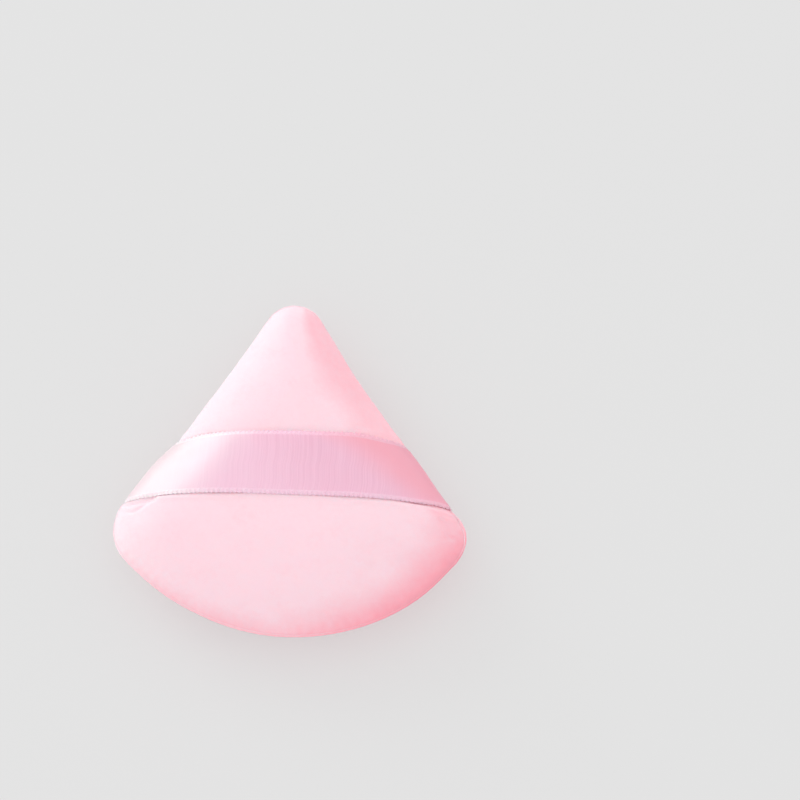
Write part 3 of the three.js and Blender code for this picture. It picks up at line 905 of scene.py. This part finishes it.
class Nodes:
    """Short names for building a material's nodes."""

    def __init__(self, name):
        self.material = bpy.data.materials.new(name)
        self.material.use_nodes = True
        self.tree = self.material.node_tree
        self.shader = self.tree.nodes["Principled BSDF"]

    def add(self, kind, inputs=(), **settings):
        node = self.tree.nodes.new(kind)
        for key, value in settings.items():
            setattr(node, key, value)
        self.fill(node, dict(inputs))
        return node

    def fill(self, node, inputs):
        for socket, value in inputs.items():
            if isinstance(value, bpy.types.NodeSocket):
                self.tree.links.new(value, node.inputs[socket])
            else:
                node.inputs[socket].default_value = value

    def math(self, operation, a, b, clamp=False):
        node = self.add("ShaderNodeMath", {0: a, 1: b}, operation=operation, use_clamp=clamp)
        return node.outputs[0]

    def noise(self, vector, size, detail=2, roughness=0.5):
        inputs = {"Vector": vector, "Scale": 1 / size, "Detail": detail, "Roughness": roughness}
        return self.add("ShaderNodeTexNoise", inputs).outputs["Fac"]

    def mix(self, share, a, b):
        node = self.add("ShaderNodeMix", {0: share, 6: a, 7: b}, data_type="RGBA")
        return node.outputs[2]

    def ramp(self, value, low, high, to_low=0.0, to_high=1.0):
        span = {"Value": value, "From Min": low, "From Max": high, "To Min": to_low, "To Max": to_high}
        return self.add("ShaderNodeMapRange", span, interpolation_type="SMOOTHSTEP").outputs[0]

    def spread(self, noise, to_low=0.0, to_high=1.0):
        """Noise spread over a whole range."""
        return self.ramp(noise, NOISE_LOW, NOISE_HIGH, to_low, to_high)

    def place(self, output="Object"):
        return self.add("ShaderNodeTexCoord").outputs[output]

    def towards(self, direction):
        """How far the surface faces a direction, from -1 to 1."""
        inputs = {0: self.place("Normal"), 1: direction}
        return self.add("ShaderNodeVectorMath", inputs, operation="DOT_PRODUCT").outputs["Value"]

    def along_and_across(self, uv_map):
        places = self.add("ShaderNodeUVMap", uv_map=uv_map).outputs["UV"]
        parts = self.add("ShaderNodeSeparateXYZ", {0: places})
        return parts.outputs[0], parts.outputs[1]

    def bump(self, height, distance, strength, normal=None):
        inputs = {"Height": height, "Distance": distance, "Strength": strength}
        if normal is not None:
            inputs["Normal"] = normal
        return self.add("ShaderNodeBump", inputs).outputs["Normal"]

    def set(self, **values):
        self.fill(self.shader, {key.replace("_", " "): value for key, value in values.items()})


def velour_material(name, painted_light_colour, light, painted_shade_colour, shade):
    """Pile with painted light and shade: pale on top, a painted highlight towards the light, painted shade
    deeper on the sides away from it, with soft brush marks.
    """
    n = Nodes(name)
    place = n.place()
    pile = n.noise(place, PILE_GRAIN, detail=4, roughness=0.7)
    # Painted shade on the sides away from the light, with the brush marks' own tone added to it
    painted_shade_and_marks = 0
    for direction, low, high, most in PAINTED_SHADE_SIDES:
        painted_shade_and_marks = n.math("MAXIMUM", painted_shade_and_marks, n.ramp(n.towards(direction), low, high, 0, most))
    for mark, strength in (
        (n.noise(place, BROAD_SIZE, detail=3), BROAD_MARK),
        (n.noise(place, SMALL_SIZE, detail=3), SMALL_MARK),
        (pile, PILE_MARK),
    ):
        painted_shade_and_marks = n.math("ADD", painted_shade_and_marks, n.spread(mark, -strength, strength), clamp=True)
    # A painted highlight on the sides towards the light, and the darkest painted shade low on the base's
    # right side
    painted_light_share = n.ramp(n.towards(PAINTED_LIGHT_SIDE), PAINTED_LIGHT_FROM, PAINTED_LIGHT_TO)
    shaded = n.ramp(n.towards(DARKEST_PAINTED_SIDE), DARKEST_PAINTED_FROM, DARKEST_PAINTED_TO)
    colour = n.mix(painted_shade_and_marks, n.mix(painted_light_share, light, painted_light_colour), painted_shade_colour)
    lumps = n.bump(n.noise(place, LUMP_SIZE, detail=3), LUMP_BUMP, strength=0.4)
    n.set(
        Base_Color=n.mix(shaded, colour, shade),
        Roughness=0.95,
        Specular_IOR_Level=0.15,
        Sheen_Weight=0.15,
        Sheen_Roughness=0.5,
        Sheen_Tint=VELOUR_SHEEN,
        Subsurface_Weight=0.5,
        Subsurface_Radius=(1.0, 0.4, 0.45),
        Subsurface_Scale=VELOUR_SCATTER,
        Normal=n.bump(pile, PILE_BUMP, strength=0.5, normal=lumps),
    )
    return n.material


def satin_colour(n, streak, cloud, along_loops):
    """Satin's colour: streaks and clouds, then painted light and painted warm shade from the right end,
    loops, a painted highlight at the left end, and painted light underneath.
    """
    from_left, from_right = n.along_and_across("ends")
    _, across = n.along_and_across("weave")
    # Painted light away from the right end and painted warm shade near it, a painted highlight towards the
    # left end, and painted light on faces turned down
    painted_light_pink = n.ramp(from_right, PAINTED_LIGHT_PINK_FROM, PAINTED_LIGHT_PINK_TO, 0, PAINTED_LIGHT_PINK_SHARE)
    slanted = n.math("SUBTRACT", from_right, n.math("MULTIPLY", across, PAINTED_WARM_SHADE_SLANT))
    painted_warm_shade = n.ramp(slanted, PAINTED_WARM_SHADE_FROM, PAINTED_WARM_SHADE_TO)
    pale = n.ramp(from_left, PAINTED_HIGHLIGHT_FROM, PAINTED_HIGHLIGHT_TO, 0, PAINTED_HIGHLIGHT_SHARE)
    under = n.ramp(n.towards((0, 0, -1)), -PAINTED_UNDERSIDE_SLOPE, PAINTED_UNDERSIDE_SLOPE)
    colour = n.mix(n.spread(streak), SILK_DEEP, SILK_LIGHT)
    for share, over in (
        (n.spread(cloud, 0, CLOUD_SHARE), SILK_CLOUD),
        (painted_light_pink, PAINTED_LIGHT_PINK),
        (painted_warm_shade, PAINTED_WARM_SHADE),
        (n.math("MULTIPLY", along_loops, LOOP_SHARE), LOOP_COLOUR),
        # A painted highlight on the silk and its loops towards the left end
        (pale, PAINTED_HIGHLIGHT_PALE),
        (n.math("MULTIPLY", along_loops, pale), PAINTED_HIGHLIGHT_LOOP_COLOUR),
        # Painted light on faces turned down
        (under, PAINTED_UNDERSIDE_LIGHT),
    ):
        colour = n.mix(share, colour, over)
    return colour


def satin_material():
    """Satin weave with streaks along its ribs and paler loops along its edges."""
    n = Nodes("satin")
    along, across = n.along_and_across("weave")
    squeezed = n.math("MULTIPLY", across, STREAK_SQUEEZE)
    line = n.add("ShaderNodeCombineXYZ", {0: along, 1: squeezed}).outputs[0]
    streak = n.noise(line, STREAK_SIZE)
    cloud = n.noise(line, CLOUD_SIZE)
    edge = n.math("MINIMUM", across, n.math("SUBTRACT", RIBBON_WIDTH, across))
    along_loops = n.ramp(edge, LOOP_COLOUR_SHARE * LOOP_LENGTH, LOOP_LENGTH, 1, 0)
    n.set(
        Base_Color=satin_colour(n, streak, cloud, along_loops),
        Roughness=0.43,
        IOR=1.8,
        Specular_IOR_Level=1,
        Subsurface_Weight=0.6,
        Subsurface_Radius=(1.0, 0.7, 0.8),
        Subsurface_Scale=SATIN_SCATTER,
        Normal=n.bump(streak, STREAK_BUMP, strength=0.3),
    )
    return n.material


def plain_cloth(name, colour, size):
    n = Nodes(name)
    grain = n.noise(n.place(), size, detail=3)
    hollow = tuple(HOLLOW_SHARE * c for c in colour[:3]) + (1,)
    n.set(
        Base_Color=n.mix(n.spread(grain), colour, hollow),
        Roughness=0.85,
        Sheen_Weight=0.2,
        Normal=n.bump(grain, size / 2, strength=0.5),
    )
    return n.material


def dress(piece, material, body=None):
    piece.data.materials.clear()
    piece.data.materials.append(material)
    if body:
        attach(piece, body)


# Studio: a floor, an even sky and one softbox from the upper left, in metres

FLOOR_REACH = 6
FLOOR_DROP = 0.05 * MM
FLOOR_GLOW = 0.6
PALE_GREY = srgb(224, 224, 224)
FLOOR_WHITE = srgb(245, 245, 245)
SKY = 1.03
KEY_FROM = Vector((-0.68, 0.68, 0.27))
KEY_DISTANCE = 1.6
KEY_WIDTH, KEY_TALL = 0.9, 1.1
KEY_RADIANCE = 2.2


def seen_directly(tree):
    """1 for rays that come from the camera, from gloss or through glass, else 0."""
    path = tree.nodes.new("ShaderNodeLightPath")
    seen = path.outputs["Is Camera Ray"]
    for other in ("Is Glossy Ray", "Is Transmission Ray"):
        most = tree.nodes.new("ShaderNodeMath")
        most.operation = "MAXIMUM"
        tree.links.new(seen, most.inputs[0])
        tree.links.new(path.outputs[other], most.inputs[1])
        seen = most.outputs[0]
    return seen


def floor():
    """A pale floor. Part of it glows to the camera, so that the puff's shadow on it stays light."""
    corners = [[x * FLOOR_REACH, y * FLOOR_REACH, 0] for x, y in ((-1, -1), (1, -1), (1, 1), (-1, 1))]
    piece = make_mesh("floor", corners, [[0, 1, 2, 3]])
    piece.location.z = -FLOOR_DROP
    n = Nodes("floor")
    seen = seen_directly(n.tree)
    n.set(Base_Color=n.mix(seen, FLOOR_WHITE, PALE_GREY), Roughness=1, Specular_IOR_Level=0)
    glow = n.add("ShaderNodeEmission", {"Color": PALE_GREY})
    share = n.math("MULTIPLY", seen, FLOOR_GLOW)
    mix = n.add("ShaderNodeMixShader", {0: share, 1: n.shader.outputs[0], 2: glow.outputs[0]})
    n.tree.links.new(mix.outputs[0], n.tree.nodes["Material Output"].inputs["Surface"])
    piece.data.materials.append(n.material)


def sky():
    world = bpy.data.worlds.new("studio")
    world.use_nodes = True
    tree = world.node_tree
    light = tree.nodes["Background"]
    light.inputs["Color"].default_value = (1, 1, 1, 1)
    light.inputs["Strength"].default_value = SKY
    pale = tree.nodes.new("ShaderNodeBackground")
    pale.inputs["Color"].default_value = PALE_GREY
    mix = tree.nodes.new("ShaderNodeMixShader")
    seen = tree.nodes.new("ShaderNodeLightPath").outputs["Is Camera Ray"]
    tree.links.new(seen, mix.inputs[0])
    tree.links.new(light.outputs[0], mix.inputs[1])
    tree.links.new(pale.outputs[0], mix.inputs[2])
    tree.links.new(mix.outputs[0], tree.nodes["World Output"].inputs["Surface"])
    bpy.context.scene.world = world


def softbox():
    data = bpy.data.lights.new("softbox", "AREA")
    data.shape = "RECTANGLE"
    data.size, data.size_y = KEY_WIDTH, KEY_TALL
    data.energy = math.pi * KEY_WIDTH * KEY_TALL * KEY_RADIANCE
    light = bpy.data.objects.new("softbox", data)
    bpy.context.scene.collection.objects.link(light)
    away = KEY_FROM.normalized()
    light.rotation_euler = away.to_track_quat("Z", "Y").to_euler()
    light.location = Vector((0, 0, SEAM_Z)) + away * KEY_DISTANCE


# Camera: where the seam's middle falls in the square picture, in pixels, and the picture's scale there
PICTURE = 800
PUFF_X, PUFF_Y = 290, 471
PX_PER_MM = 4.38
# Its angles in degrees, its lens and sensor in mm, and how near and far it sees, in metres
ELEVATION = 70
TURN = 1.2
LENS = 300
SENSOR = 36
NEAREST_SEEN, FURTHEST_SEEN = 0.01, 20


def camera():
    data = bpy.data.cameras.new("camera")
    data.lens, data.sensor_width = LENS, SENSOR
    data.clip_start, data.clip_end = NEAREST_SEEN, FURTHEST_SEEN
    eye = bpy.data.objects.new("camera", data)
    bpy.context.scene.collection.objects.link(eye)
    bpy.context.scene.camera = eye
    distance = PICTURE * LENS / SENSOR / PX_PER_MM * MM
    raised, turned = math.radians(ELEVATION), math.radians(TURN)
    right = Vector((math.cos(turned), math.sin(turned), 0))
    ahead = Vector((-math.sin(turned), math.cos(turned), 0))
    back = Vector((0, 0, math.sin(raised))) - ahead * math.cos(raised)
    up = ahead * math.sin(raised) + Vector((0, 0, math.cos(raised)))
    scale = MM / PX_PER_MM
    target = Vector((0, 0, SEAM_Z))
    target += right * (PICTURE / 2 - PUFF_X) * scale + up * (PUFF_Y - PICTURE / 2) * scale
    axes = Matrix((right, up, back)).transposed().to_4x4()
    eye.matrix_world = Matrix.Translation(target + back * distance) @ axes


# The scene: studio, covers, core, ribbon and threads

bpy.context.scene.view_settings.view_transform = "Standard"
camera()
sky()
softbox()
floor()

back = cover("back_velour", BACK_SKIN, 1, 0)
powder = cover("powder_velour", POWDER_SKIN, -1, PRESSED)
dress(back, velour_material("back_velour", *BACK_COLOURS), "puff")
dress(powder, velour_material("powder_velour", *POWDER_COLOURS), "puff")
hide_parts("back_cover")
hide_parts("powder_cover")

pad = foam_pad()
dress(pad, plain_cloth("foam", FOAM_COLOUR, FOAM_GRAIN), "puff")
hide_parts("foam_core")

band = ribbon()
dress(band, satin_material())
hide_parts("strap_span", "strap_left_end", "strap_right_end")
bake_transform(band)
ribbon_length(0.5)

thread = plain_cloth("thread", THREAD_COLOUR, THREAD_GRAIN)
stitches = closing_stitches()
face_outwards(stitches)
dress(stitches, thread, "puff")
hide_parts("closing_thread")
for name in ("seam_needle_thread", "seam_bobbin_thread", "left_tack_thread", "right_tack_thread"):
    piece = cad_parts[name]
    piece.data.materials.clear()
    piece.data.materials.append(thread)
